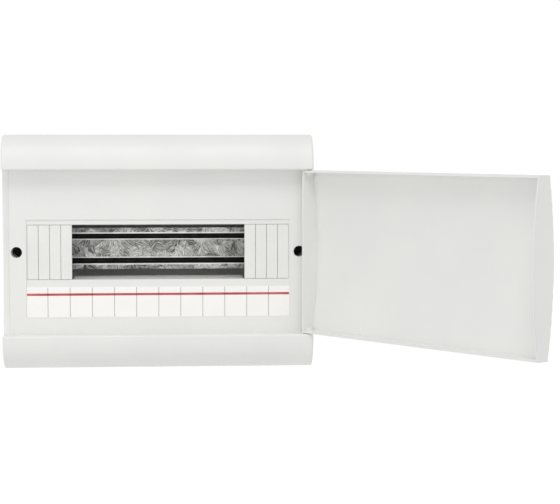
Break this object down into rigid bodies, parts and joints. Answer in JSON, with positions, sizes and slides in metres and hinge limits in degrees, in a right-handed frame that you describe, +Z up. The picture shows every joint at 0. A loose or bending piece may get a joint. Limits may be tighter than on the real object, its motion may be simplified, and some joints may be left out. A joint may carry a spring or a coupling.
{
  "type": "breaker panel box",
  "caption": "Wall-mounted plastic breaker enclosure with a hinged door, blanked module window, label card, top-hat rail and terminal bars.",
  "frame": {"origin": "centre of the back face, on the wall", "axes": "+X right, +Y into the wall, +Z up"},
  "size_m": [0.4075, 0.2802, 0.191],
  "materials": {
    "housing": "white moulded",
    "door_shell": "white moulded",
    "blanking": "white moulded",
    "entry": "white moulded",
    "pin_plastic": "white moulded",
    "label_card": "card",
    "rail_steel": "galvanised",
    "dark_screw": "blackened",
    "zinc_screw": "zinc plated",
    "bar_brass": "drawn brass",
    "holder_blue": "blue moulded",
    "holder_green": "green moulded"
  },
  "bodies": {
    "enclosure": {"back_box": "housing", "blank_left_1": "blanking", "blank_left_2": "blanking", "blank_left_3": "blanking", "blank_left_4": "blanking", "blank_right_1": "blanking", "blank_right_2": "blanking", "blank_right_3": "blanking", "blank_right_4": "blanking", "din_rail": "rail_steel", "earth_bar": "bar_brass", "earth_bar_holder": "holder_green", "earth_bar_screws": "zinc_screw", "entry_plate_bottom": "entry", "entry_plate_top": "entry", "front_cover": "housing", "label_strip": "label_card", "neutral_bar": "bar_brass", "neutral_bar_holder": "holder_blue", "neutral_bar_screws": "zinc_screw", "rail_screws": "zinc_screw"},
    "door_leaf": {"door": "door_shell", "hinge_pin_bottom": "pin_plastic", "hinge_pin_top": "pin_plastic"},
    "screw_left": {"cover_screw_left": "dark_screw"},
    "screw_right": {"cover_screw_right": "dark_screw"}
  },
  "joints": [
    {"name": "door_hinge", "type": "hinge", "parent": "enclosure", "child": "door_leaf", "pos_m": [0.123, -0.0785, 0], "axis": [0, 0, 1], "range_deg": [-127.5, 0]},
    {"name": "cover_screw_left_turn", "type": "hinge", "parent": "enclosure", "child": "screw_left", "pos_m": [-0.1151, -0.045, 0], "axis": [0, 1, 0], "continuous": true},
    {"name": "cover_screw_right_turn", "type": "hinge", "parent": "enclosure", "child": "screw_right", "pos_m": [0.1151, -0.045, 0], "axis": [0, 1, 0], "continuous": true}
  ]
}
